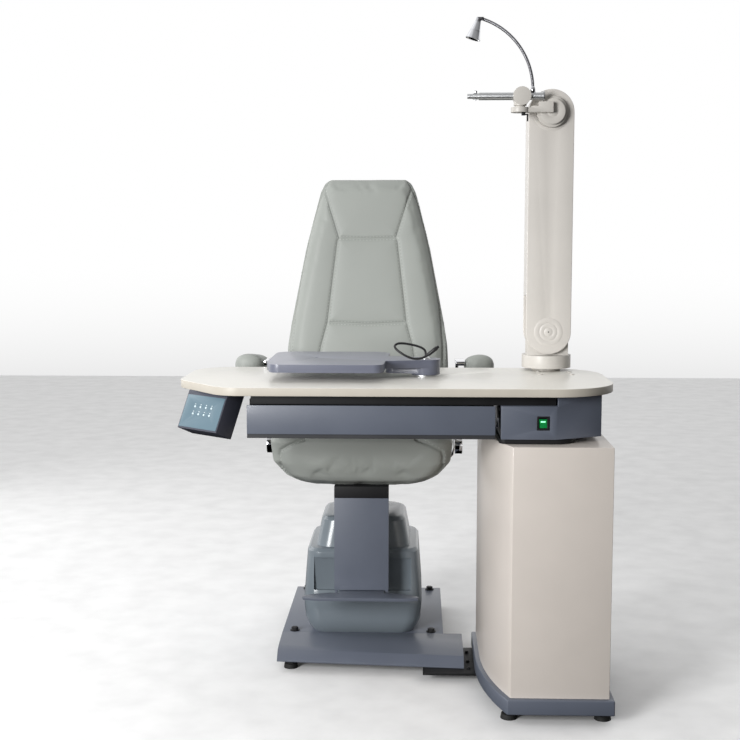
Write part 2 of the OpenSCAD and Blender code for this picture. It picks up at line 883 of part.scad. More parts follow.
module thumbscrew() {
    color(steel) translate([207, head_y, 0]) {
        translate([0, 0, rod_z - 10]) cylinder(h = 20, r = 2);
        translate([0, 0, rod_z + 8.5]) cylinder(h = 5.5, r = 5);
        translate([0, 0, rod_z - 11]) cylinder(h = 2.5, r = 3);
    }
}

module lock_lever() {
    x = head_x + 8;
    y = head_y - 8;
    color(black) {
        translate([x, y, 1494]) cylinder(h = 7.5, r = 5);
        span([x, y - 2, 1494.5], [x + 11, y + 2, 1498]);
        translate([x + 11, y, 1479]) cylinder(h = 19, r = 2.2);
    }
}

// Flexible neck: a short upright, then a bow whose centre lies to the left
goose_z = rod_z + 16;
goose_bow = 72;
module gooseneck() {
    tube_r = 4.2;
    color([0.45, 0.45, 0.47]) {
        translate([goose_x, head_y, rod_z + 0.5]) cylinder(h = 10, r = 4);
        translate([goose_x, head_y, rod_z + 10.3]) cylinder(h = 5.8, r = 6);
        translate([goose_x - goose_r, head_y, goose_z]) rotate([90, 0, 0])
            rotate_extrude(angle = goose_bow, $fn = 96) translate([goose_r, 0])
                circle(r = tube_r, $fn = 24);
        for (y = [head_y - 10.5, head_y + 8.5])
            span([lamp_x - 3, y, lamp_z - 3], [lamp_x + 12, y + 2, lamp_z + 3]);
        span([lamp_x + 9, head_y - 10.5, lamp_z - 3], [lamp_x + 12, head_y + 10.5, lamp_z + 3]);
        rod_y(lamp_x, lamp_z, head_y - 9, head_y + 9, 2);
    }
}

// End of the bow, where the lamp hangs
lamp_x = goose_x - goose_r * (1 - cos(goose_bow)) - 10.5;
lamp_z = goose_z + goose_r * sin(goose_bow) + 1;
module lamp_frame() {
    translate([lamp_x, head_y, lamp_z]) rotate([0, lamp_angle, 0]) children();
}
module lamp_shade() {
    r_top = 7.5;
    r_mouth = 20;
    length = 54;
    color(steel) lamp_frame() difference() {
        union() {
            translate([0, 0, -length]) cylinder(h = length - 6, r1 = r_mouth, r2 = r_top);
            translate([0, 0, -7]) cylinder(h = 11, r = r_top);
        }
        translate([0, 0, -length - 1]) cylinder(h = length - 24, r1 = r_mouth - 1, r2 = r_top);
        rotate([0, -lamp_angle, 0]) rod_y(0, 0, -20, 20, 2.05);
    }
}
module lamp_bulb() {
    color([1, 0.95, 0.8]) lamp_frame() {
        translate([0, 0, -30]) cylinder(h = 5, r = 5);
        translate([0, 0, -40]) cylinder(h = 10, r = 4);
        translate([0, 0, -40]) sphere(r = 4);
    }
}

// ---------- Instrument lead on the tray pivot ----------

cable_r = 3;
cable_path = [
    [80, -205, 871], [80, -205, 879], [77, -206, 887], [69, -208, 893], [56, -211, 898],
    [40, -215, 902], [23, -220, 905], [8, -226, 905], [0, -235, 900], [4, -244, 892],
    [16, -249, 883], [30, -251, 875], [46, -250, 869], [60, -247, 868], [72, -244, 870],
    [82, -241, 875]
];
cable_sides = 10;
function unit(v) = v / norm(v);
function cable_along(i) = unit(
    cable_path[min(i + 1, len(cable_path) - 1)] - cable_path[max(i - 1, 0)]);
function cable_side(i) = let (t = cable_along(i))
    unit(cross(t, [0.35, 1, 0.05]));
function cable_ring(i) = let (t = cable_along(i), u = cable_side(i), v = cross(t, u))
    [for (k = [0:cable_sides - 1]) let (a = 360 * k / cable_sides)
        cable_path[i] + cable_r * (cos(a) * u + sin(a) * v)];
module tray_cable() {
    n = len(cable_path);
    m = cable_sides;
    points = [for (i = [0:n - 1]) each cable_ring(i)];
    sides = [for (i = [0:n - 2], k = [0:m - 1])
        let (a = i * m + k, b = i * m + (k + 1) % m) each [[a, b, b + m], [a, b + m, a + m]]];
    ends = [[for (k = [m - 1:-1:0]) k], [for (k = [0:m - 1]) (n - 1) * m + k]];
    color(black) polyhedron(points, concat(sides, ends), convexity = 6);
}
module cable_plug() {
    turn = 36;
    length = 34;
    color(black) translate([82, -241, 875]) rotate([0, 0, 15]) rotate([0, 90 - turn, 0]) {
        cylinder(h = length, r = 5.5);
        translate([0, 0, length]) cylinder(h = 6, r = 4);
    }
}

base_plate();
front_channel();
levelling_feet();
joining_plate();
base_fasteners();
plinth();
cabinet_shell();
transformer();
mains_inlet();
swing_post();
pedestal_cover();
lift_tube();
lift_motor();
lift_column();
leg_post();
seat_pan();
seat_cushion();
backrest_shell();
backrest_cushion();
armrest_hubs();
armrest_arm(-1);  // armrest_left_arm
armrest_pad(-1);  // armrest_left_pad
armrest_arm(1);  // armrest_right_arm
armrest_pad(1);  // armrest_right_pad
footplate();
tabletop();
underframe();
swing_base();
side_housing();
rocker_bezel();
control_box();
control_panel();
column_foot();
tray_pivot();
drawer();
rocker_switch();
key(0);  // key_1
key(1);  // key_2
key(2);  // key_3
key(3);  // key_4
key(4);  // key_5
key(5);  // key_6
key(6);  // key_7
key(7);  // key_8
tray();
column_neck();
arm_front_shell();
arm_rear_shell();
arm_beam();
arm_link();
head_bracket();
head_block();
head_rod();
thumbscrew();
lock_lever();
gooseneck();
lamp_shade();
lamp_bulb();
tray_cable();
cable_plug();
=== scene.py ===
"""Ophthalmic combination table with an examination chair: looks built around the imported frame.

Metres, X to the right, Y away from the viewer, Z up.
"""
import json
import math

import bmesh
import bpy
from mathutils import Matrix, Vector
from mathutils.bvhtree import BVHTree


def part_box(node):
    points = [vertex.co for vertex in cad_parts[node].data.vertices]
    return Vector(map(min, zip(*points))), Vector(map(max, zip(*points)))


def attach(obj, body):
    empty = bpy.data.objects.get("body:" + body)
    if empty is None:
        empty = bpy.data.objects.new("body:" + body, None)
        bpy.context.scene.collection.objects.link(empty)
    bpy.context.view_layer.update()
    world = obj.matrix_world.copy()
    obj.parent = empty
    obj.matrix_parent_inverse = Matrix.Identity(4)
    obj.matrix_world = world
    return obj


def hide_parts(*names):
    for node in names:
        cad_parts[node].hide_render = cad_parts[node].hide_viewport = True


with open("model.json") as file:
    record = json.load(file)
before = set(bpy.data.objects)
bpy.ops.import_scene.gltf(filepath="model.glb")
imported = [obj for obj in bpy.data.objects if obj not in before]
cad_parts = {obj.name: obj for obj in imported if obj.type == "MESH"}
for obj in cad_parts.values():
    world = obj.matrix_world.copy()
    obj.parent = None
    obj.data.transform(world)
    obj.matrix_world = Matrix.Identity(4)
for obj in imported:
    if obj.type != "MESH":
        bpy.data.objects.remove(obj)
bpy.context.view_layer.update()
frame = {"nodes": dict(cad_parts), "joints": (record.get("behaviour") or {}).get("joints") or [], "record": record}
NODES = frame["nodes"]
BODY_OF = {n: b for b, ns in frame["record"]["behaviour"]["bodies"].items() for n in ns}
SLOT_OF = {p["node"]: p["material_slot"] for p in frame["record"]["subparts"]}
JOINT = {j["name"]: j for j in frame["joints"]}
scene = bpy.context.scene
MM = 0.001


# ---------- Camera, light and floor ----------

def add_camera():
    data = bpy.data.cameras.new("camera")
    data.lens = 60.8
    data.sensor_width = 36
    cam = bpy.data.objects.new("camera", data)
    cam.location = (0.053, -3.45, 1.183)
    cam.rotation_euler = (math.radians(83.861), 0, math.radians(2.086))
    scene.collection.objects.link(cam)
    scene.camera = cam


def add_area(name, place, target, size, power, colour=(1, 1, 1)):
    data = bpy.data.lights.new(name, "AREA")
    data.shape = "RECTANGLE"
    data.size, data.size_y = size
    data.energy = power
    data.color = colour
    light = bpy.data.objects.new(name, data)
    light.location = place
    direction = Vector(target) - Vector(place)
    light.rotation_euler = direction.to_track_quat("-Z", "Y").to_euler()
    scene.collection.objects.link(light)


# How bright the studio is: direction, where the change starts and ends, low and high
WORLD_TERMS = (((0, 1, 0), -0.1, 0.9, 0.07, 1.2), ((-1, 0, 0), -0.2, 0.9, 0.0, 0.42),
               ((0, 0, 1), 0.05, 0.9, 0.0, 0.30), ((0, 0, 1), -0.4, -0.02, -1.2, 0.0))


def add_world():
    """A studio that is bright behind and above, and dim to the right and below."""
    world = bpy.data.worlds.new("studio")
    world.use_nodes = True
    nodes, links = world.node_tree.nodes, world.node_tree.links
    place = nodes.new("ShaderNodeTexCoord")
    total = None
    for direction, start, end, low, high in WORLD_TERMS:
        along = nodes.new("ShaderNodeVectorMath")
        along.operation = "DOT_PRODUCT"
        along.inputs[1].default_value = direction
        links.new(place.outputs["Generated"], along.inputs[0])
        share = nodes.new("ShaderNodeMapRange")
        share.interpolation_type = "SMOOTHSTEP"
        share.inputs["From Min"].default_value = start
        share.inputs["From Max"].default_value = end
        share.inputs["To Min"].default_value = low
        share.inputs["To Max"].default_value = high
        links.new(along.outputs["Value"], share.inputs["Value"])
        if total is None:
            total = share.outputs["Result"]
            continue
        both = nodes.new("ShaderNodeMath")
        both.operation = "ADD"
        both.use_clamp = True
        links.new(total, both.inputs[0])
        links.new(share.outputs["Result"], both.inputs[1])
        total = both.outputs["Value"]
    links.new(total, nodes["Background"].inputs["Color"])
    nodes["Background"].inputs["Strength"].default_value = 1.0
    scene.world = world


def add_studio():
    middle = (0, 0, 0.8)
    add_area("key", (-2.4, -3.65, 1.55), middle, (1.5, 1.7), 192)
    add_area("top", (-0.6, 0.2, 3.6), middle, (2.4, 1.8), 3)
    add_area("rim", (-2.4, 1.4, 1.6), middle, (1.4, 2.0), 14)
    add_world()
    scene.view_settings.view_transform = "Standard"


def add_floor():
    bpy.ops.mesh.primitive_plane_add(size=14)
    floor = bpy.context.object
    floor.name = "studio_floor"
    floor.data.materials.append(surface("floor_paper", (0.93, 0.93, 0.93), 0.9))
    floor.visible_diffuse = False
    floor.visible_glossy = False


# ---------- Materials ----------

def surface(name, colour, rough, metal=0.0, coat=0.0, tint=0.05, tint_scale=9.0,
            rough_swing=0.06, grain=0.0, grain_scale=900.0, cells=False, stretch=(1, 1, 1),
            specular=0.5):
    """A painted, moulded or metal surface: cloudy tint, uneven gloss and a fine grain."""
    mat = bpy.data.materials.new(name)
    mat.use_nodes = True
    nodes, links = mat.node_tree.nodes, mat.node_tree.links
    shader = nodes["Principled BSDF"]
    shader.inputs["Metallic"].default_value = metal
    shader.inputs["Coat Weight"].default_value = coat
    shader.inputs["Coat Roughness"].default_value = 0.12
    shader.inputs["Specular IOR Level"].default_value = specular
    place = nodes.new("ShaderNodeTexCoord")
    mapping = nodes.new("ShaderNodeMapping")
    mapping.inputs["Scale"].default_value = stretch
    links.new(place.outputs["Object"], mapping.inputs["Vector"])

    cloud = nodes.new("ShaderNodeTexNoise")
    cloud.inputs["Scale"].default_value = tint_scale
    cloud.inputs["Detail"].default_value = 6
    links.new(mapping.outputs["Vector"], cloud.inputs["Vector"])
    ramp = nodes.new("ShaderNodeValToRGB")
    ramp.color_ramp.elements[0].position = 0.3
    ramp.color_ramp.elements[1].position = 0.7
    ramp.color_ramp.elements[0].color = [c * (1 - tint) for c in colour] + [1]
    ramp.color_ramp.elements[1].color = [min(1, c * (1 + tint)) for c in colour] + [1]
    links.new(cloud.outputs["Fac"], ramp.inputs["Fac"])
    links.new(ramp.outputs["Color"], shader.inputs["Base Color"])

    gloss = nodes.new("ShaderNodeMapRange")
    gloss.inputs["To Min"].default_value = max(0.02, rough - rough_swing)
    gloss.inputs["To Max"].default_value = min(1, rough + rough_swing)
    links.new(cloud.outputs["Fac"], gloss.inputs["Value"])
    links.new(gloss.outputs["Result"], shader.inputs["Roughness"])

    if grain:
        if cells:
            fine = nodes.new("ShaderNodeTexVoronoi")
            height = fine.outputs["Distance"]
        else:
            fine = nodes.new("ShaderNodeTexNoise")
            fine.inputs["Detail"].default_value = 3
            height = fine.outputs["Fac"]
        fine.inputs["Scale"].default_value = grain_scale
        links.new(mapping.outputs["Vector"], fine.inputs["Vector"])
        bump = nodes.new("ShaderNodeBump")
        bump.inputs["Strength"].default_value = grain
        bump.inputs["Distance"].default_value = 0.0004
        links.new(height, bump.inputs["Height"])
        links.new(bump.outputs["Normal"], shader.inputs["Normal"])
    return mat


def glowing(name, colour, strength):
    mat = surface(name, colour, 0.3)
    shader = mat.node_tree.nodes["Principled BSDF"]
    shader.inputs["Emission Color"].default_value = (*colour, 1)
    shader.inputs["Emission Strength"].default_value = strength
    return mat


SURFACES = {
    "slate_metal": surface("slate_paint", (0.112, 0.127, 0.163), 0.42, coat=0.15, tint=0.04,
                           grain=0.25, grain_scale=1500),
    "cream_metal": surface("cream_enamel", (0.66, 0.605, 0.555), 0.38, coat=0.2, tint=0.02,
                           grain=0.12, grain_scale=700),
    "ivory_shell": surface("ivory_moulding", (0.655, 0.625, 0.585), 0.36, coat=0.15, tint=0.02,
                           grain=0.10, grain_scale=1200),
    "ivory_metal": surface("ivory_casting", (0.60, 0.575, 0.535), 0.40, tint=0.03, grain=0.25,
                           grain_scale=1100),
    "table_laminate": surface("laminate_face", (0.84, 0.82, 0.76), 0.33, coat=0.1, tint=0.02,
                              tint_scale=30, grain=0.12, grain_scale=1600),
    "tray_enamel": surface("tray_enamel", (0.30, 0.31, 0.37), 0.40, coat=0.2, tint=0.04,
                           grain=0.30, grain_scale=1000),
    "black_metal": surface("black_paint", (0.010, 0.010, 0.011), 0.55, tint=0.2, grain=0.3,
                           specular=0.25),
    "foot_rubber": surface("foot_rubber", (0.012, 0.012, 0.012), 0.75, tint=0.3, grain=0.5,
                           grain_scale=600),
    "cover_plastic": surface("glossy_cover", (0.17, 0.20, 0.225), 0.26, coat=0.2, tint=0.04,
                             rough_swing=0.03),
    "steel": surface("turned_steel", (0.62, 0.63, 0.64), 0.34, metal=1, tint=0.05,
                     grain=0.2, grain_scale=300, stretch=(1, 1, 12)),
    "chrome": surface("bright_chrome", (0.78, 0.79, 0.82), 0.07, metal=1, tint=0.03,
                      rough_swing=0.02),
    "gooseneck_steel": surface("wound_steel", (0.30, 0.30, 0.32), 0.34, metal=1, tint=0.08),
    "leather": surface("grey_leatherette", (0.365, 0.385, 0.36), 0.50, tint=0.035,
                       tint_scale=5, grain=0.45, grain_scale=650, cells=True),
    "back_shell": surface("shell_plastic", (0.10, 0.105, 0.11), 0.55, tint=0.06, grain=0.5,
                          grain_scale=900, cells=True),
    "box_plastic": surface("box_moulding", (0.060, 0.063, 0.085), 0.5, tint=0.05, grain=0.4,
                           grain_scale=1400),
    "panel_film": surface("panel_film", (0.125, 0.195, 0.24), 0.40, coat=0.1, tint=0.03,
                          grain=0.1, grain_scale=2000),
    "key_film": surface("key_dome", (0.62, 0.74, 0.78), 0.40, tint=0.03),
    "black_plastic": surface("black_plastic", (0.012, 0.012, 0.013), 0.35, tint=0.2,
                             grain=0.2),
    "green_lens": glowing("green_lens", (0.004, 0.20, 0.045), 0.15),
    "coil_steel": surface("transformer_core", (0.10, 0.07, 0.05), 0.5, metal=0.6, tint=0.2,
                          stretch=(1, 60, 1)),
    "bulb_glass": glowing("frosted_bulb", (1.0, 0.93, 0.80), 0.8),
    "cable_rubber": surface("cable_sheath", (0.013, 0.013, 0.014), 0.5, tint=0.2, grain=0.3),
}
EDGE_BAND = surface("edge_band", (0.56, 0.52, 0.45), 0.42, tint=0.03, tint_scale=20)
SEAM_THREAD = surface("seam_thread", (0.58, 0.60, 0.57), 0.7, tint=0.1, tint_scale=400)
GLYPH_INK = surface("glyph_ink", (0.86, 0.93, 0.95), 0.5, tint=0.02)
# Painted shade for the tray's rim: a darker copy of the tray enamel.
TRAY_RIM_SHADE = surface("tray_rim_painted_shade", (0.13, 0.14, 0.185), 0.42, coat=0.2, tint=0.04)
# Painted shade for the drawer's recessed lower lip.
LIP_SHADE_PAINT = surface("shaded_lip", (0.045, 0.046, 0.05), 0.5, tint=0.1)
# Painted shade: near-black colour that stands for the shade inside a small recess.
RECESS_SHADE_PAINT = surface("painted_recess_shade", (0.02, 0.02, 0.022), 0.7, tint=0.2)
BRASS_PIN = surface("inlet_pin", (0.62, 0.60, 0.55), 0.3, metal=1)


# ---------- Mesh helpers ----------

def new_piece(name, verts, faces, material, body):
    mesh = bpy.data.meshes.new(name)
    mesh.from_pydata(verts, [], faces)
    mesh.validate()
    return finish_piece(name, mesh, material, body)


def finish_piece(name, mesh, material, body):
    piece = bpy.data.objects.new(name, mesh)
    scene.collection.objects.link(piece)
    if not mesh.materials:
        mesh.materials.append(material)
    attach(piece, body)
    return piece


def apply_modifiers(piece):
    """Replaces the piece's mesh with the mesh that its modifiers make."""
    graph = bpy.context.evaluated_depsgraph_get()
    mesh = bpy.data.meshes.new_from_object(piece.evaluated_get(graph))
    old = piece.data
    piece.modifiers.clear()
    piece.data = mesh
    bpy.data.meshes.remove(old)


def shade(piece, angle=35):
    """Smooth shading with edges sharper than angle kept crisp."""
    mesh = piece.data
    bm = bmesh.new()
    bm.from_mesh(mesh)
    limit = math.radians(angle)
    for face in bm.faces:
        face.smooth = True
    for edge in bm.edges:
        edge.smooth = len(edge.link_faces) == 2 and edge.calc_face_angle(0) < limit
    bm.to_mesh(mesh)
    bm.free()


def clean_copy(node):
    """The CAD node's mesh, welded, with its flat faces whole again."""
    mesh = NODES[node].data.copy()
    mesh.materials.clear()
    bm = bmesh.new()
    bm.from_mesh(mesh)
    bmesh.ops.remove_doubles(bm, verts=bm.verts, dist=2e-6)
    bmesh.ops.dissolve_limit(bm, angle_limit=math.radians(0.6), verts=bm.verts,
                             edges=bm.edges)
    bm.to_mesh(mesh)
    bm.free()
    normals = mesh.attributes.get("custom_normal")
    if normals:
        mesh.attributes.remove(normals)
    return mesh


def rounded(node, bevel, segments=3, angle=32, name=None):
    """A rounded version of a CAD node: its edges get a small radius, as the real part has."""
    piece = finish_piece(name or node + "_shape", clean_copy(node), SURFACES[SLOT_OF[node]],
                         BODY_OF[node])
    mod = piece.modifiers.new("edges", "BEVEL")
    mod.width = bevel
    mod.segments = segments
    mod.limit_method = "ANGLE"
    mod.angle_limit = math.radians(angle)
    mod.harden_normals = False
    mod.miter_outer = "MITER_ARC"
    apply_modifiers(piece)
    shade(piece, 30)
    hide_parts(node)
    return piece


def lathe(name, profile, material, body, steps=48, place=None, closed=False):
    """Turns a profile of (radius, height) points about Z, then puts it in place."""
    verts, faces = [], []
    count = len(profile)
    for i in range(steps):
        a = 2 * math.pi * i / steps
        verts += [(r * math.cos(a), r * math.sin(a), z) for r, z in profile]
    spans = count if closed else count - 1
    for i in range(steps):
        here, there = i * count, (i + 1) % steps * count
        for k in range(spans):
            n = (k + 1) % count
            faces.append((here + k, there + k, there + n, here + n))
    mesh = bpy.data.meshes.new(name)
    mesh.from_pydata(verts, [], faces)
    bm = bmesh.new()
    bm.from_mesh(mesh)
    bmesh.ops.remove_doubles(bm, verts=bm.verts, dist=1e-6)
    bmesh.ops.holes_fill(bm, edges=[e for e in bm.edges if e.is_boundary])
    bmesh.ops.recalc_face_normals(bm, faces=bm.faces)
    bm.to_mesh(mesh)
    bm.free()
    if place:
        mesh.transform(place)
    piece = finish_piece(name, mesh, material, body)
    shade(piece)
    return piece


def sweep(name, centres, radii, material, body, sides=16):
    """A round tube through centres, with a radius at each, closed at both ends."""
    verts, faces = [], []
    side = None
    for i, centre in enumerate(centres):
        ahead = centres[min(i + 1, len(centres) - 1)] - centres[max(i - 1, 0)]
        along = ahead.normalized()
        if side is None:
            side = along.orthogonal().normalized()
        side = (side - along * side.dot(along)).normalized()
        up = along.cross(side)
        for k in range(sides):
            a = 2 * math.pi * k / sides
            verts.append(centre + radii[i] * (math.cos(a) * side + math.sin(a) * up))
    for i in range(len(centres) - 1):
        for k in range(sides):
            n = (k + 1) % sides
            faces.append((i * sides + k, i * sides + n, (i + 1) * sides + n,
                          (i + 1) * sides + k))
    last = (len(centres) - 1) * sides
    faces.append(tuple(range(sides - 1, -1, -1)))
    faces.append(tuple(range(last, last + sides)))
    piece = new_piece(name, verts, faces, material, body)
    shade(piece, 50)
    return piece


def facing(axis, place):
    """Turns +Z to axis and moves the origin to place."""
    turn = Vector(axis).to_track_quat("Z", "Y").to_matrix().to_4x4()
    return Matrix.Translation(Vector(place)) @ turn


# ---------- Cord ----------

CABLE_RADIUS = 3 * MM
CABLE_ROUTE = [Vector(p) * MM for p in (
    (80, -205, 871), (80, -205, 879), (77, -206, 887), (69, -208, 893), (56, -211, 898),
    (40, -215, 902), (23, -220, 905), (8, -226, 905), (0, -235, 900), (4, -244, 892),
    (16, -249, 883), (30, -251, 875), (46, -250, 869), (60, -247, 868), (72, -244, 870),
    (82, -241, 875))]
PLUG_RISE = 36
PLUG_TURN = 15


def smooth_path(points, steps):
    """Catmull-Rom points through the given ones, steps to each span."""
    path = []
    for i in range(len(points) - 1):
        a, b = points[max(i - 1, 0)], points[i]
        c, d = points[i + 1], points[min(i + 2, len(points) - 1)]
        for k in range(steps):
            t = k / steps
            path.append(0.5 * ((2 * b) + (c - a) * t + (2 * a - 5 * b + 4 * c - d) * t * t
                               + (3 * b - 3 * c + d - a) * t ** 3))
    path.append(points[-1].copy())
    return path


def add_cable():
    path = smooth_path(CABLE_ROUTE, 4)
    curve = bpy.data.curves.new("instrument_lead", "CURVE")
    curve.dimensions = "3D"
    curve.bevel_depth = CABLE_RADIUS
    curve.bevel_resolution = 4
    curve.use_fill_caps = True
    spline = curve.splines.new("POLY")
    spline.points.add(len(path) - 1)
    for point, co in zip(spline.points, path):
        point.co = (*co, 1)
    spline.use_smooth = True
    curve.materials.append(SURFACES["cable_rubber"])
    lead = bpy.data.objects.new("instrument_lead", curve)
    scene.collection.objects.link(lead)
    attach(lead, "table")
    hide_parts("tray_cable")
    plug = add_plug()


def add_plug():
    """Round plug: a ribbed grip, a collar and a tip along the lead's end, all in one black plastic finish."""
    start = CABLE_ROUTE[-1]
    rise, turn = math.radians(PLUG_RISE), math.radians(PLUG_TURN)
    axis = Vector((math.cos(rise) * math.cos(turn), math.cos(rise) * math.sin(turn),
                   math.sin(rise)))
    ribs = [(5.4 if i % 2 else 4.8, 9 + 1.6 * i) for i in range(10)]
    profile = [(0, 0), (3.4, 0), (3.8, 3), (5.2, 8)] + ribs + [
        (5.4, 27), (5.4, 33.5), (4.9, 34), (3.9, 34.2), (3.9, 39.6), (3.5, 40), (0, 40)]
    plug = lathe("lead_plug", [(r * MM, z * MM) for r, z in profile],
                 SURFACES["black_plastic"], "table", 28,
                 facing(axis, start))
    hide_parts("cable_plug")
    return plug


# ---------- Padded parts ----------

def remeshed(node, name, voxel):
    """A closed, even copy of a soft CAD solid, ready for the cloth simulation."""
    piece = finish_piece(name, clean_copy(node), SURFACES["leather"], BODY_OF[node])
    mod = piece.modifiers.new("even", "REMESH")
    mod.mode = "VOXEL"
    mod.voxel_size = voxel
    apply_modifiers(piece)
    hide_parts(node)
    return piece


def inflate(piece, cap, shrink, pressure=4.0, frames=20):
    """Cloth under pressure: the form swells and settles, and no point goes past cap."""
    mesh = piece.data
    start = [v.co.copy() for v in mesh.vertices]
    for v, n in zip(mesh.vertices, [v.normal.copy() for v in mesh.vertices]):
        v.co -= n * shrink
    mod = piece.modifiers.new("padding", "CLOTH")
    mod.settings.quality = 5
    mod.settings.mass = 0.3
    mod.settings.tension_stiffness = 12
    mod.settings.compression_stiffness = 12
    mod.settings.bending_stiffness = 0.6
    mod.settings.use_pressure = True
    mod.settings.uniform_pressure_force = pressure
    mod.settings.effector_weights.gravity = 0
    mod.point_cache.frame_start = 1
    mod.point_cache.frame_end = frames
    for step in range(1, frames + 1):
        scene.frame_set(step)
    graph = bpy.context.evaluated_depsgraph_get()
    moved = [v.co.copy() for v in piece.evaluated_get(graph).data.vertices]
    piece.modifiers.clear()
    for v, old, new in zip(mesh.vertices, start, moved):
        shift = new - old
        if shift.length > cap:
            shift *= cap / shift.length
        v.co = old + shift
    scene.frame_set(1)


def relax(piece, times, factor=0.5):
    mod = piece.modifiers.new("relax", "SMOOTH")
    mod.factor = factor
    mod.iterations = times
    apply_modifiers(piece)


def subdivide(piece, levels=1):
    mod = piece.modifiers.new("fine", "SUBSURF")
    mod.levels = levels
    mod.render_levels = levels
    apply_modifiers(piece)


def distance_to(point, line):
    """Distance in the plane from a point to a polyline."""
    best = 1e9
    for a, b in zip(line, line[1:]):
        span = (b[0] - a[0], b[1] - a[1])
        size = span[0] ** 2 + span[1] ** 2
        t = ((point[0] - a[0]) * span[0] + (point[1] - a[1]) * span[1]) / size
        t = min(1, max(0, t))
        best = min(best, math.hypot(a[0] + t * span[0] - point[0],
                                    a[1] + t * span[1] - point[1]))
    return best


def sew(piece, seams, to_plane, front, depth=4.0 * MM, width=4.0 * MM, dip=4.0 * MM):
    """Pulls the skin in along seams: a sharp groove inside a soft, wide hollow.

    to_plane gives a point's place in the seams' plane, and front says if a vertex faces it.
    """
    mesh = piece.data
    moves = []
    for v in mesh.vertices:
        if not front(v):
            moves.append(None)
            continue
        d = min(distance_to(to_plane(v.co), line) for line in seams)
        groove = depth * math.exp(-(d / width) ** 2) + dip * math.exp(-d / (4.5 * width))
        moves.append(v.normal * groove)
    for v, move in zip(mesh.vertices, moves):
        if move is not None:
            v.co -= move


def lay_thread(name, piece, points, push, body, radius=0.7 * MM):
    """A row of stitches on the skin: points are cast onto it along push."""
    tree = BVHTree.FromObject(piece, bpy.context.evaluated_depsgraph_get())
    hits = []
    for p in points:
        place, normal, _, _ = tree.ray_cast(p - push * 0.3, push)
        if place is not None:
            hits.append((place, normal))
    verts, faces = [], []
    for i in range(0, len(hits) - 1, 2):
        (a, na), (b, _) = hits[i], hits[i + 1]
        along = b - a
        if along.length < 1e-4 or along.length > 0.03:
            continue
        add_capsule(verts, faces, a, along, na, radius)
    if faces:
        thread = new_piece(name, verts, faces, SEAM_THREAD, body)
        shade(thread, 80)


def add_capsule(verts, faces, start, along, normal, radius, sides=6):
    """One stitch: a short thread that dips into the skin at both ends."""
    across = along.cross(normal).normalized()
    first = len(verts)
    stations = ((0.0, -0.6, 0.5), (0.2, 0.5, 0.95), (0.8, 0.5, 0.95), (1.0, -0.6, 0.5))
    for t, lift, size in stations:
        centre = start + along * t + normal * radius * lift
        for k in range(sides):
            a = 2 * math.pi * k / sides
            verts.append(centre + radius * size * (math.cos(a) * across
                                                   + math.sin(a) * normal))
    for s in range(len(stations) - 1):
        for k in range(sides):
            n = (k + 1) % sides
            base = first + s * sides
            faces.append((base + k, base + n, base + sides + n, base + sides + k))
    faces.append(tuple(first + k for k in range(sides - 1, -1, -1)))
    last = first + (len(stations) - 1) * sides
    faces.append(tuple(last + k for k in range(sides)))


def along_line(line, pitch):
    """Points along a polyline in the plane, pitch apart."""
    points = []
    for a, b in zip(line, line[1:]):
        size = math.hypot(b[0] - a[0], b[1] - a[1])
        steps = max(1, int(size / pitch))
        points += [(a[0] + (b[0] - a[0]) * k / steps, a[1] + (b[1] - a[1]) * k / steps)
                   for k in range(steps)]
    return points + [line[-1]]


def mirrored(line):
    return [(-x, z) for x, z in line]


# The backrest leans back about its lower front edge
CHAIR_X = -94 * MM
LEAN = math.radians(8)
BACK_FOOT = Vector((CHAIR_X, 325 * MM, 640 * MM))
BACK_TURN = Matrix.Rotation(-LEAN, 3, "X")


def back_plane(co):
    """Place on the backrest: sideways from its middle, and up along its lean."""
    local = BACK_TURN.transposed() @ (co - BACK_FOOT)
    return local.x, local.z


def back_seams():
    """Seams of the backrest, in metres on its own plane; the left ones are mirrored."""
    shoulder = [(138, 698), (108, 610), (87, 541)]
    panel = [(87, 541), (92, 530), (106, 412), (121, 282), (140, 210), (164, 60), (170, 0)]
    border = [(136, 716), (168, 655), (196, 560), (222, 440), (240, 330), (250, 210),
              (249, 110), (238, 20)]
    right = [[(x * MM * 0.94 if line is border else x * MM, z * MM) for x, z in line]
             for line in (shoulder, panel, border)]
    across = [[(-87 * MM, 541 * MM), (0, 538 * MM), (87 * MM, 541 * MM)],
              [(-121 * MM, 282 * MM), (0, 276 * MM), (121 * MM, 282 * MM)]]
    return right + [mirrored(line) for line in right] + across


def add_backrest():
    back = remeshed("backrest_cushion", "backrest_leather", 6 * MM)
    inflate(back, cap=9 * MM, shrink=5 * MM)
    relax(back, 3)
    subdivide(back)
    facing_front = BACK_TURN @ Vector((0, -1, 0))
    seams = back_seams()
    sew(back, seams, back_plane, lambda v: v.normal.dot(facing_front) > 0.25)
    shade(back, 180)
    for i, line in enumerate(seams):
        for side in (-5 * MM, 5 * MM):
            shifted = offset_line(line, side)
            points = [BACK_FOOT + BACK_TURN @ Vector((x, 0.03, z))
                      for x, z in along_line(shifted, 5 * MM)]
            lay_thread(f"backrest_stitch_{i}_{'ab'[side > 0]}", back, points,
                       -facing_front, "chair")


def offset_line(line, shift):
    """The polyline moved sideways in its plane."""
    moved = []
    for i, (x, z) in enumerate(line):
        a, b = line[max(i - 1, 0)], line[min(i + 1, len(line) - 1)]
        dx, dz = b[0] - a[0], b[1] - a[1]
        size = math.hypot(dx, dz)
        moved.append((x - dz / size * shift, z + dx / size * shift))
    return moved


def seat_front_plane(co):
    return co.x - CHAIR_X, co.z


def seat_top_plane(co):
    return co.x - CHAIR_X, co.y


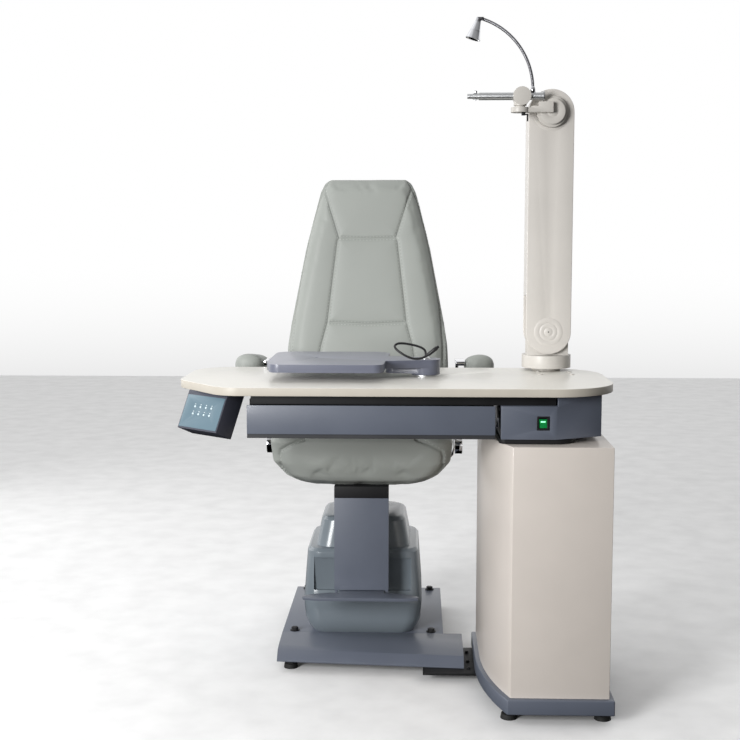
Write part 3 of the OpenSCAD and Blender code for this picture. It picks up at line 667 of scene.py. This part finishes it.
def add_seat():
    seat = remeshed("seat_cushion", "seat_leather", 6 * MM)
    inflate(seat, cap=6 * MM, shrink=5 * MM)
    relax(seat, 2)
    subdivide(seat)
    corner = [[(x * MM, z * MM) for x, z in line] for line in (
        [(152, 638), (190, 618), (221, 600)],
        [(221, 600), (226, 585), (222, 550), (213, 527), (196, 508)])]
    front = corner + [mirrored(line) for line in corner]
    sew(seat, front, seat_front_plane, lambda v: v.normal.y < -0.35)
    top_side = [(x * MM, y * MM) for x, y in ((152, -96), (150, 40), (160, 180), (180, 290))]
    across = [(-150 * MM, 60 * MM), (0, 52 * MM), (150 * MM, 60 * MM)]
    top = [top_side, mirrored(top_side), across]
    sew(seat, top, seat_top_plane, lambda v: v.normal.z > 0.6)
    shade(seat, 180)
    for i, line in enumerate(front):
        points = [Vector((CHAIR_X + x, -0.25, z)) for x, z in
                  along_line(offset_line(line, 5 * MM), 5 * MM)]
        lay_thread(f"seat_front_stitch_{i}", seat, points, Vector((0, 1, 0)), "chair")
    for i, line in enumerate(top):
        points = [Vector((CHAIR_X + x, y, 0.75)) for x, y in
                  along_line(offset_line(line, 5 * MM), 5 * MM)]
        lay_thread(f"seat_top_stitch_{i}", seat, points, Vector((0, 0, -1)), "chair")


def add_armrest_pads():
    for side in ("left", "right"):
        pad = remeshed(f"armrest_{side}_pad", f"armrest_{side}_leather", 4 * MM)
        inflate(pad, cap=4 * MM, shrink=3 * MM)
        relax(pad, 4)
        subdivide(pad)
        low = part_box(f"armrest_{side}_pad")[0].z
        seam = [(-1, low + 16 * MM), (1, low + 16 * MM)]
        sew(pad, [seam], lambda co: (co.y, co.z), lambda v: abs(v.normal.z) < 0.8,
            depth=2.5 * MM, width=2.5 * MM, dip=1.5 * MM)
        shade(pad, 180)


# ---------- Rigid parts with rounded edges ----------

def add_rounded_parts():
    radius = {
        "base_plate": 1.5, "front_channel": 2.0, "joining_plate": 1.0, "plinth": 3.0,
        "cabinet_shell": 1.4, "transformer": 1.0, "mains_inlet": 0.6, "swing_post": 0.8,
        "lift_tube": 1.0, "lift_motor": 1.5, "leg_post": 1.6, "seat_pan": 1.5,
        "armrest_hubs": 0.8, "armrest_left_arm": 1.5, "armrest_right_arm": 1.5,
        "footplate": 1.8, "underframe": 1.2, "swing_base": 2.0, "side_housing": 1.2,
        "rocker_bezel": 0.5, "column_foot": 0.6, "tray_pivot": 0.6,
        "column_neck": 3.0, "arm_beam": 1.0, "arm_link": 0.6, "head_bracket": 2.4,
        "head_block": 3.2, "head_rod": 0.8, "thumbscrew": 0.5, "lock_lever": 0.6,
        "base_fasteners": 0.5, "backrest_shell": 4.0, "lift_column": 0.8,
    }
    for node, size in radius.items():
        rounded(node, size * MM)


def add_tabletop():
    """Laminated board: a pale face over a beige edge band with rounded arrises."""
    top = rounded("tabletop", 3.2 * MM, 4)
    top.data.materials.append(EDGE_BAND)
    for face in top.data.polygons:
        if abs(face.normal.z) < 0.75:
            face.material_index = 1


def add_drawer():
    """Drawer whose folded lip under its front is painted near-black as the shade it lies in."""
    drawer = rounded("drawer", 0.8 * MM)
    lip_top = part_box("drawer")[0].z + 10 * MM
    # Painted shade: the lip faces under the drawer front are coloured near-black.
    drawer.data.materials.append(LIP_SHADE_PAINT)
    for face in drawer.data.polygons:
        if face.center.z < lip_top:
            face.material_index = 1


def add_tray():
    """Enamelled tray whose upright rim faces are painted a darker copy of its enamel, as shade."""
    tray = rounded("tray", 1.3 * MM)
    # Painted shade: faces standing more upright than flat get the darker copy of the tray enamel.
    tray.data.materials.append(TRAY_RIM_SHADE)
    for face in tray.data.polygons:
        if abs(face.normal.z) < 0.6:
            face.material_index = 1


def add_feet():
    """Levelling feet with softened edges."""
    rounded("levelling_feet", 1.0 * MM)


def add_pedestal_cover():
    """Formed plastic cover with soft corners and a shallow upper tier."""
    cover = rounded("pedestal_cover", 3.0 * MM, 3, 24)
    tier_foot, tier_share = 306 * MM, 0.70
    for v in cover.data.vertices:
        if v.co.z > tier_foot:
            v.co.z = tier_foot + (v.co.z - tier_foot) * tier_share
    shade(cover, 40)


def add_arm_shells():
    for node in ("arm_front_shell", "arm_rear_shell"):
        rounded(node, 1.9 * MM, 4)


# ---------- Arm details ----------

def add_pivot_rings():
    """Turned covers over the arm's pivots: shallow steps and a centre dot painted near-black as the shade of a
    recess.
    """
    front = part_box("arm_front_shell")[0].y
    low = Vector(JOINT["arm_tilt"]["pos_m"])
    high = Vector(JOINT["head_level"]["pos_m"])
    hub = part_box("head_bracket")[0]
    profile = [(0, 1.6), (11, 1.5), (12, 0.9), (13, 1.4), (23, 1.3), (24, 0.7), (25, 1.1),
               (36, 0.9), (38, 0.2), (38, -0.5), (0, -0.5)]
    lathe("lower_pivot_cover", [(r * MM, z * MM) for r, z in profile],
          SURFACES["ivory_shell"], "arm", 72,
          facing((0, -1, 0), (low.x, front, low.z)))
    # Painted shade: the centre dot is a near-black disc standing for the shade of a recess.
    lathe("lower_pivot_dot", [(0, 0.4 * MM), (1.8 * MM, 0.3 * MM), (2 * MM, -MM),
                              (0, -MM)], RECESS_SHADE_PAINT, "arm", 16,
          facing((0, -1, 0), (low.x, front - 1.6 * MM, low.z)))
    ring = [(41.5, -0.4), (41.5, 0.9), (43, 1.3), (46, 1.2), (49, 0.4), (49.5, -0.4)]
    lathe("upper_pivot_ring", [(r * MM, z * MM) for r, z in ring],
          SURFACES["ivory_shell"], "arm", 72,
          facing((0, -1, 0), (high.x, front, high.z)), closed=True)
    hub_front = hub.y + 29 * MM
    cap = [(0, 1.5), (14, 1.4), (15, 0.8), (16, 1.2), (30, 1.0), (33, 0.3), (33, -0.5),
           (0, -0.5)]
    lathe("upper_hub_cap", [(r * MM, z * MM) for r, z in cap], SURFACES["ivory_metal"],
          "head_carrier", 64,
          facing((0, -1, 0), (high.x, hub_front, high.z)))


# ---------- Head and lamp ----------

HEAD_Y = -125 * MM
GOOSE_X = 356 * MM
GOOSE_Z = 1560 * MM
GOOSE_R = 190 * MM
GOOSE_BOW = math.radians(72)


def bow_point(angle):
    return Vector((GOOSE_X - GOOSE_R * (1 - math.cos(angle)), HEAD_Y,
                   GOOSE_Z + GOOSE_R * math.sin(angle)))


def add_gooseneck():
    """Wound flexible tube: one ridge for each turn of the strip, a socket at its foot and the lamp fork at its far
    end.
    """
    ridge = 2.6 * MM
    turns = int(GOOSE_R * GOOSE_BOW / ridge)
    stations = ((0.0, 3.8), (0.25, 4.15), (0.5, 4.25), (0.75, 4.15))
    centres, radii = [], []
    for i in range(turns):
        for share, size in stations:
            centres.append(bow_point(GOOSE_BOW * (i + share) / turns))
            radii.append(size * MM)
    neck = sweep("gooseneck_tube", centres, radii, SURFACES["gooseneck_steel"],
                 "lamp_neck", 18)
    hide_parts("gooseneck")
    socket = [(0, -15.5), (3.9, -15.5), (3.9, -6), (6.6, -5.6), (6.8, -5), (6.8, 1),
              (6.2, 5), (5, 8), (4.4, 9), (0, 9)]
    lathe("gooseneck_socket", [(r * MM, z * MM) for r, z in socket], SURFACES["chrome"],
          "lamp_neck", 32, facing((0, 0, 1), (GOOSE_X, HEAD_Y, GOOSE_Z)))
    add_lamp_fork()


def add_lamp_fork():
    """Fork and pin at the end of the bow that the lamp tips on."""
    pivot = Vector(JOINT["lamp_tilt"]["pos_m"])
    verts, faces = [], []
    for y in (-9.5 * MM, 9.5 * MM):
        add_box(verts, faces, pivot + Vector((4.5 * MM, y, 0)),
                Vector((7.5 * MM, 1 * MM, 3 * MM)))
    add_box(verts, faces, pivot + Vector((10.5 * MM, 0, 0)),
            Vector((1.5 * MM, 10.5 * MM, 3 * MM)))
    fork = new_piece("lamp_fork", verts, faces, SURFACES["gooseneck_steel"], "lamp_neck")
    soften(fork, 0.5 * MM)
    pin = [(0, -10.9), (2.6, -10.9), (2.6, -10.2), (1.95, -10.1), (1.95, 10.1),
           (2.6, 10.2), (2.6, 10.9), (0, 10.9)]
    lathe("lamp_pin", [(r * MM, z * MM) for r, z in pin], SURFACES["chrome"], "lamp_neck",
          20, facing((0, 1, 0), pivot))


def add_box(verts, faces, centre, half):
    first = len(verts)
    for x in (-1, 1):
        for y in (-1, 1):
            for z in (-1, 1):
                verts.append(centre + Vector((x * half.x, y * half.y, z * half.z)))
    for quad in ((0, 1, 3, 2), (4, 6, 7, 5), (0, 4, 5, 1), (2, 3, 7, 6), (0, 2, 6, 4),
                 (1, 5, 7, 3)):
        faces.append(tuple(first + k for k in quad))


def soften(piece, width, segments=2):
    mod = piece.modifiers.new("edges", "BEVEL")
    mod.width = width
    mod.segments = segments
    mod.limit_method = "ANGLE"
    apply_modifiers(piece)
    shade(piece)


def add_lamp():
    """Chrome shade: a stepped cap, a flared cone, a rolled lip and a bright inside."""
    pivot = Vector(JOINT["lamp_tilt"]["pos_m"])
    lean = math.radians(16.4)
    axis = Vector((math.sin(lean), 0, math.cos(lean)))
    outside = [(2.6, 4), (5.5, 3.8), (7.2, 2.6), (7.5, 1), (7.5, -6.5), (8.2, -7.2),
               (8.2, -9), (8.8, -10), (13.4, -30), (14.0, -31), (14.0, -33), (14.5, -34),
               (18.8, -51), (19.8, -52.4), (20, -53.4), (19.4, -54)]
    inside = [(18.4, -53.2), (17.4, -50), (12.4, -34), (8.4, -25), (2.6, -24)]
    shade_piece = lathe("lamp_cone", [(r * MM, z * MM) for r, z in outside + inside],
                        SURFACES["chrome"], "lamp", 48, facing(axis, pivot))
    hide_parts("lamp_shade")
    glass = [(0, -25.5), (4.8, -25.5), (4.8, -30), (3.6, -31), (4.2, -36), (3.9, -40),
             (2.6, -43), (0, -44)]
    bulb = lathe("lamp_glass", [(r * MM, z * MM) for r, z in glass],
                 SURFACES["bulb_glass"], "lamp", 24, facing(axis, pivot))
    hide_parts("lamp_bulb")


# ---------- Control box ----------

BOX_ORIGIN = Vector((-456 * MM, -416 * MM, 798 * MM))
BOX_TURN = (Matrix.Rotation(math.radians(-40), 3, "Z")
            @ Matrix.Rotation(math.radians(-24), 3, "X"))


def on_box(x, y, z):
    return BOX_ORIGIN + BOX_TURN @ (Vector((x, y, z)) * MM)


def add_control_box():
    rounded("control_box", 4.0 * MM, 4)
    rounded("control_panel", 0.5 * MM, 2)
    for j in range(2):
        for i in range(4):
            add_key(i, j)


def key_place(i, j):
    return -30.5 + 20.3 * i, -38 - 18.5 * j


def add_key(i, j):
    """A domed membrane key with a printed arrow above it."""
    node = f"key_{j * 4 + i + 1}"
    x, z = key_place(i, j)
    centre = on_box(x, -1.9, z)
    out = BOX_TURN @ Vector((0, -1, 0))
    dome = [(0, 0.35), (1.2, 0.3), (2.3, 0.1), (2.9, -0.4), (3.0, -0.9), (3.0, -3.2),
            (0, -3.2)]
    key = lathe(f"{node}_dome", [(r * MM, z * MM) for r, z in dome], SURFACES["key_film"],
                f"button_{j * 4 + i + 1}", 24, facing(out, centre))
    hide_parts(node)
    add_glyph(node, i, j)


def add_glyph(node, i, j):
    """A printed sign above each key: a small arrowhead."""
    x, z = key_place(i, j)
    outline = [(-2.2, 5.4), (2.2, 5.4), (0, 7.6)]
    verts = [on_box(x + a, y, z + b) for y in (-1.32, -1.15) for a, b in outline]
    count = len(outline)
    faces = [tuple(range(count)), tuple(range(2 * count - 1, count - 1, -1))]
    faces += [(k, (k + 1) % count, (k + 1) % count + count, k + count)
              for k in range(count)]
    new_piece(f"{node}_sign", verts, faces, GLYPH_INK, "table")


# ---------- Rocker switch ----------

def add_rocker():
    """Green rocker with a clear light bar near its top."""
    rounded("rocker_switch", 0.7 * MM, 3)
    low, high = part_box("rocker_switch")
    middle = (low + high) / 2
    verts, faces = [], []
    add_box(verts, faces, Vector((middle.x, low.y + 2.2 * MM, high.z - 6.5 * MM)),
            Vector((5.5 * MM, 1.2 * MM, 1.6 * MM)))
    bar = new_piece("rocker_light_bar", verts, faces,
                    glowing("lit_bar", (0.25, 0.95, 0.45), 1.5), "rocker")
    soften(bar, 0.4 * MM)


# ---------- Drawer and housing details ----------

def add_drawer_catch():
    """Bright catch between the drawer front and the housing."""
    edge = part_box("drawer")[1].x
    verts, faces = [], []
    add_box(verts, faces, Vector((edge + 5 * MM, -0.455, 0.735)),
            Vector((2.4 * MM, 6 * MM, 12 * MM)))
    catch = new_piece("drawer_catch", verts, faces, SURFACES["chrome"], "table")
    soften(catch, 1.0 * MM, 3)


def add_screw(name, place, axis, radius, body, material="steel"):
    """Pan head screw with a cross recess shown as a shallow cup."""
    profile = [(0, 0.55), (0.28, 0.55), (0.34, 1.0), (0.70, 0.85), (0.95, 0.45), (1, 0),
               (1, -0.3), (0, -0.3)]
    scale = [(r * radius, z * radius * 0.55) for r, z in profile]
    lathe(name, scale, SURFACES[material], body, 24, facing(axis, place))


def add_screws():
    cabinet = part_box("cabinet_shell")
    for i, z in enumerate((0.14, 0.38, 0.62)):
        for k, x in enumerate((cabinet[0].x + 0.02, cabinet[1].x - 0.02)):
            add_screw(f"cabinet_back_screw_{i}_{k}", Vector((x, cabinet[1].y, z)),
                      (0, 1, 0), 4 * MM, "base")
    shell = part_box("arm_rear_shell")
    for i, z in enumerate((0.98, 1.2, 1.45)):
        for k, x in enumerate((shell[0].x + 0.014, shell[1].x - 0.014)):
            add_screw(f"arm_back_screw_{i}_{k}", Vector((x, shell[1].y, z)), (0, 1, 0),
                      3.2 * MM, "arm")


def add_inlet_pins():
    """Three flat pins inside the mains inlet."""
    low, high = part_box("mains_inlet")
    verts, faces = [], []
    middle = (low + high) / 2
    for x, z in ((-5.5, -2.5), (5.5, -2.5), (0, 3)):
        add_box(verts, faces, Vector((middle.x + x * MM, high.y - 12 * MM, middle.z + z * MM)),
                Vector((0.8 * MM, 6 * MM, 2 * MM)))
    pins = new_piece("inlet_pins", verts, faces, BRASS_PIN, "base")
    soften(pins, 0.3 * MM)


# ---------- Build ----------

add_camera()
add_cable()
add_studio()
add_floor()
add_rounded_parts()
add_tabletop()
add_drawer()
add_tray()
add_feet()
add_pedestal_cover()
add_arm_shells()
add_pivot_rings()
add_gooseneck()
add_lamp()
add_control_box()
add_rocker()
add_drawer_catch()
add_screws()
add_inlet_pins()
add_armrest_pads()
add_seat()
add_backrest()
